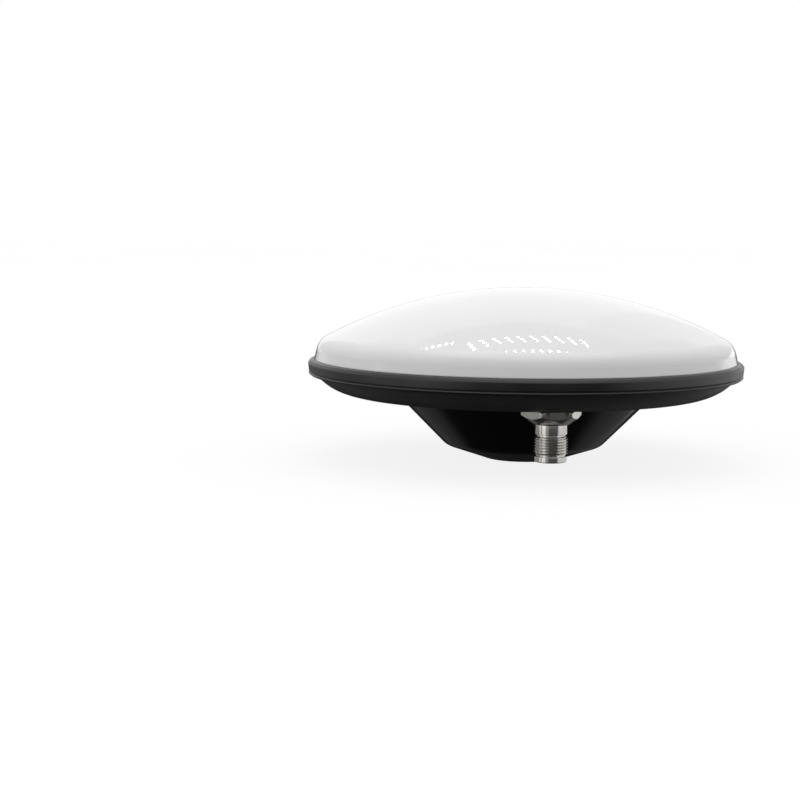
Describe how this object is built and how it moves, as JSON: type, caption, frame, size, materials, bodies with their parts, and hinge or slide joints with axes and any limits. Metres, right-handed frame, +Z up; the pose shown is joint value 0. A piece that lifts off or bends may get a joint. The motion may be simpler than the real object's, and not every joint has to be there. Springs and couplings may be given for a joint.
{
  "type": "gnss receiver",
  "caption": "Domed survey satellite antenna head with a rubber rim, a conical pole mount and a threaded coaxial jack.",
  "frame": {"origin": "antenna reference point: centre of the mounting hub's bottom face, on the pole thread's axis", "axes": "+Z up through the dome's top; the coaxial jack is on the -Y side; X completes a right-handed frame"},
  "size_m": [0.152, 0.152, 0.0598],
  "materials": {
    "radome_white": "moulded white ASA, polished",
    "bumper_rubber": "matte moulded elastomer",
    "base_plastic": "fine spark-eroded texture",
    "hub_gloss": "gloss black",
    "seal_rubber": "smooth silicone",
    "stainless": "turned stainless steel",
    "nickel_plate": "nickel plate over machined brass",
    "ptfe": "turned PTFE",
    "gold_plate": "gold plate",
    "plane_aluminium": "milled and clear-chromated",
    "patch_ceramic": "ground dielectric ceramic",
    "patch_metal": "fired silver metallisation",
    "solder_mask": "green solder mask",
    "tin_plate": "tin-plated sheet steel",
    "chip_epoxy": "moulded epoxy",
    "coax_jacket": "translucent brown FEP jacket"
  },
  "bodies": {
    "root": {"radome": "radome_white", "rim_bumper": "bumper_rubber", "base_shell": "base_plastic", "mount_hub": "hub_gloss", "case_seal": "seal_rubber", "hub_seal": "seal_rubber", "jack_seal": "seal_rubber", "case_screws": "stainless", "hub_screws": "stainless", "threaded_insert": "stainless", "plane_screws": "stainless", "stack_screw": "stainless", "stack_nut": "stainless", "board_screws": "stainless", "jack_body": "nickel_plate", "jack_nut": "nickel_plate", "jack_washer": "nickel_plate", "standoffs": "nickel_plate", "jack_insulator": "ptfe", "jack_contact": "gold_plate", "board_coax_plug": "gold_plate", "lower_feed_pins": "gold_plate", "upper_feed_pins": "gold_plate", "ground_plane": "plane_aluminium", "lower_substrate": "patch_ceramic", "upper_substrate": "patch_ceramic", "lower_element": "patch_metal", "upper_element": "patch_metal", "amplifier_board": "solder_mask", "amplifier_shield": "tin_plate", "amplifier_chips": "chip_epoxy", "coax_pigtail": "coax_jacket"}
  },
  "joints": []
}
